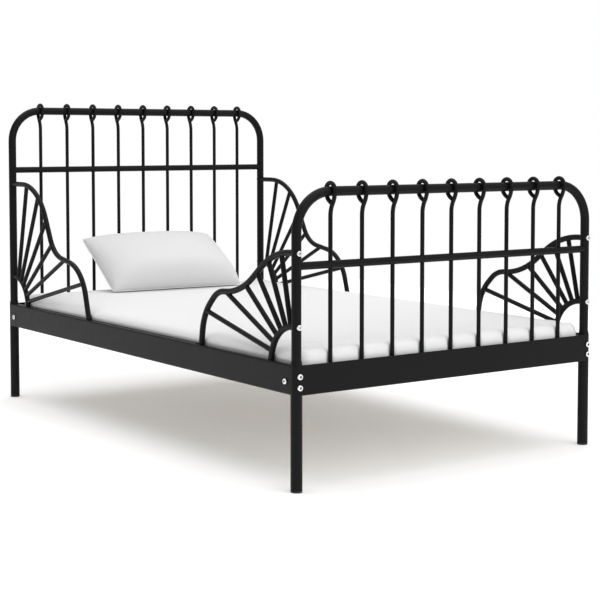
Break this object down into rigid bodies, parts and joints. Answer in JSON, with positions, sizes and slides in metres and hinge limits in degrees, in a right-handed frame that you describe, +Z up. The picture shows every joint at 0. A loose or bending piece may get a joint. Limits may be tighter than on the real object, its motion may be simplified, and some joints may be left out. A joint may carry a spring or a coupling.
{
  "type": "toddler bed",
  "caption": "Low toddler bed in black steel tube with looped rods, fan-shaped side guards, slats, mattress and pillow; it pulls out in length.",
  "frame": {"origin": "on the floor under the middle of the bed, at its shortest length", "axes": "+X across the bed to the right as seen from the foot end, +Y towards the head end, +Z up"},
  "size_m": [0.831, 1.373, 0.7949],
  "materials": {
    "black_steel": "satin powder coat with a fine texture",
    "zinc_steel": "bright zinc plate",
    "foot_plastic": "matte moulded plastic",
    "slat_wood": "clear-lacquered layer-glued veneer",
    "elastic_strap": "woven elastic webbing",
    "mattress_cover": "white woven cotton",
    "pillow_cover": "white woven cotton"
  },
  "bodies": {
    "head_section": {"head_hoop": "black_steel", "head_crossbar": "black_steel", "head_rods": "black_steel", "head_plate": "black_steel", "head_leg_left": "black_steel", "head_leg_right": "black_steel", "head_leg_cap_left": "foot_plastic", "head_leg_cap_right": "foot_plastic", "head_guard_tube_left": "black_steel", "head_guard_tube_right": "black_steel", "head_guard_arc_left": "black_steel", "head_guard_arc_right": "black_steel", "head_guard_spokes_left": "black_steel", "head_guard_spokes_right": "black_steel", "head_guard_inserts": "zinc_steel", "head_guard_screws": "zinc_steel", "head_leg_bolts": "zinc_steel", "head_leg_nuts": "zinc_steel", "outer_rail_left": "black_steel", "outer_rail_right": "black_steel", "rail_lock_bolts": "zinc_steel", "rail_lock_nuts": "zinc_steel", "slat_01": "slat_wood", "slat_strap_left": "elastic_strap", "slat_strap_right": "elastic_strap"},
    "foot_section": {"foot_hoop": "black_steel", "foot_crossbar": "black_steel", "foot_rods": "black_steel", "foot_plate": "black_steel", "foot_leg_left": "black_steel", "foot_leg_right": "black_steel", "foot_leg_cap_left": "foot_plastic", "foot_leg_cap_right": "foot_plastic", "foot_guard_tube_left": "black_steel", "foot_guard_tube_right": "black_steel", "foot_guard_arc_left": "black_steel", "foot_guard_arc_right": "black_steel", "foot_guard_spokes_left": "black_steel", "foot_guard_spokes_right": "black_steel", "foot_guard_inserts": "zinc_steel", "foot_guard_screws": "zinc_steel", "foot_leg_bolts": "zinc_steel", "foot_leg_nuts": "zinc_steel", "inner_rail_left": "black_steel", "inner_rail_right": "black_steel", "slat_14": "slat_wood"},
    "slat_02": {"slat_02": "slat_wood"},
    "slat_03": {"slat_03": "slat_wood"},
    "slat_04": {"slat_04": "slat_wood"},
    "slat_05": {"slat_05": "slat_wood"},
    "slat_06": {"slat_06": "slat_wood"},
    "slat_07": {"slat_07": "slat_wood"},
    "slat_08": {"slat_08": "slat_wood"},
    "slat_09": {"slat_09": "slat_wood"},
    "slat_10": {"slat_10": "slat_wood"},
    "slat_11": {"slat_11": "slat_wood"},
    "slat_12": {"slat_12": "slat_wood"},
    "slat_13": {"slat_13": "slat_wood"},
    "mattress": {"mattress": "mattress_cover"},
    "pillow": {"pillow": "pillow_cover"}
  },
  "joints": [
    {"name": "extension", "type": "slide", "parent": "head_section", "child": "foot_section", "axis": [0, -1, 0], "range_m": [0, 0.7], "deforming": ["slat_strap_left", "slat_strap_right"]},
    {"name": "slat_02_slide", "type": "slide", "parent": "head_section", "child": "slat_02", "axis": [0, -1, 0], "range_m": [0, 0.0548]},
    {"name": "slat_03_slide", "type": "slide", "parent": "head_section", "child": "slat_03", "axis": [0, -1, 0], "range_m": [0, 0.1087]},
    {"name": "slat_04_slide", "type": "slide", "parent": "head_section", "child": "slat_04", "axis": [0, -1, 0], "range_m": [0, 0.1625]},
    {"name": "slat_05_slide", "type": "slide", "parent": "head_section", "child": "slat_05", "axis": [0, -1, 0], "range_m": [0, 0.2164]},
    {"name": "slat_06_slide", "type": "slide", "parent": "head_section", "child": "slat_06", "axis": [0, -1, 0], "range_m": [0, 0.2702]},
    {"name": "slat_07_slide", "type": "slide", "parent": "head_section", "child": "slat_07", "axis": [0, -1, 0], "range_m": [0, 0.3241]},
    {"name": "slat_08_slide", "type": "slide", "parent": "head_section", "child": "slat_08", "axis": [0, -1, 0], "range_m": [0, 0.3779]},
    {"name": "slat_09_slide", "type": "slide", "parent": "head_section", "child": "slat_09", "axis": [0, -1, 0], "range_m": [0, 0.4318]},
    {"name": "slat_10_slide", "type": "slide", "parent": "head_section", "child": "slat_10", "axis": [0, -1, 0], "range_m": [0, 0.4856]},
    {"name": "slat_11_slide", "type": "slide", "parent": "head_section", "child": "slat_11", "axis": [0, -1, 0], "range_m": [0, 0.5395]},
    {"name": "slat_12_slide", "type": "slide", "parent": "head_section", "child": "slat_12", "axis": [0, -1, 0], "range_m": [0, 0.5933]},
    {"name": "slat_13_slide", "type": "slide", "parent": "head_section", "child": "slat_13", "axis": [0, -1, 0], "range_m": [0, 0.6472]},
    {"name": "mattress_lift", "type": "slide", "parent": "head_section", "child": "mattress", "axis": [0, 0, 1], "range_m": [0, 0.62]},
    {"name": "pillow_lift", "type": "slide", "parent": "mattress", "child": "pillow", "axis": [0, -0.5, 0.866], "range_m": [0, 0.35]}
  ],
  "couplings": [
    {"joint": "slat_02_slide", "follows": "extension", "ratio": 0.076923},
    {"joint": "slat_03_slide", "follows": "extension", "ratio": 0.15385},
    {"joint": "slat_04_slide", "follows": "extension", "ratio": 0.23077},
    {"joint": "slat_05_slide", "follows": "extension", "ratio": 0.30769},
    {"joint": "slat_06_slide", "follows": "extension", "ratio": 0.38461},
    {"joint": "slat_07_slide", "follows": "extension", "ratio": 0.46154},
    {"joint": "slat_08_slide", "follows": "extension", "ratio": 0.53846},
    {"joint": "slat_09_slide", "follows": "extension", "ratio": 0.61538},
    {"joint": "slat_10_slide", "follows": "extension", "ratio": 0.69231},
    {"joint": "slat_11_slide", "follows": "extension", "ratio": 0.76923},
    {"joint": "slat_12_slide", "follows": "extension", "ratio": 0.84615},
    {"joint": "slat_13_slide", "follows": "extension", "ratio": 0.92308}
  ]
}
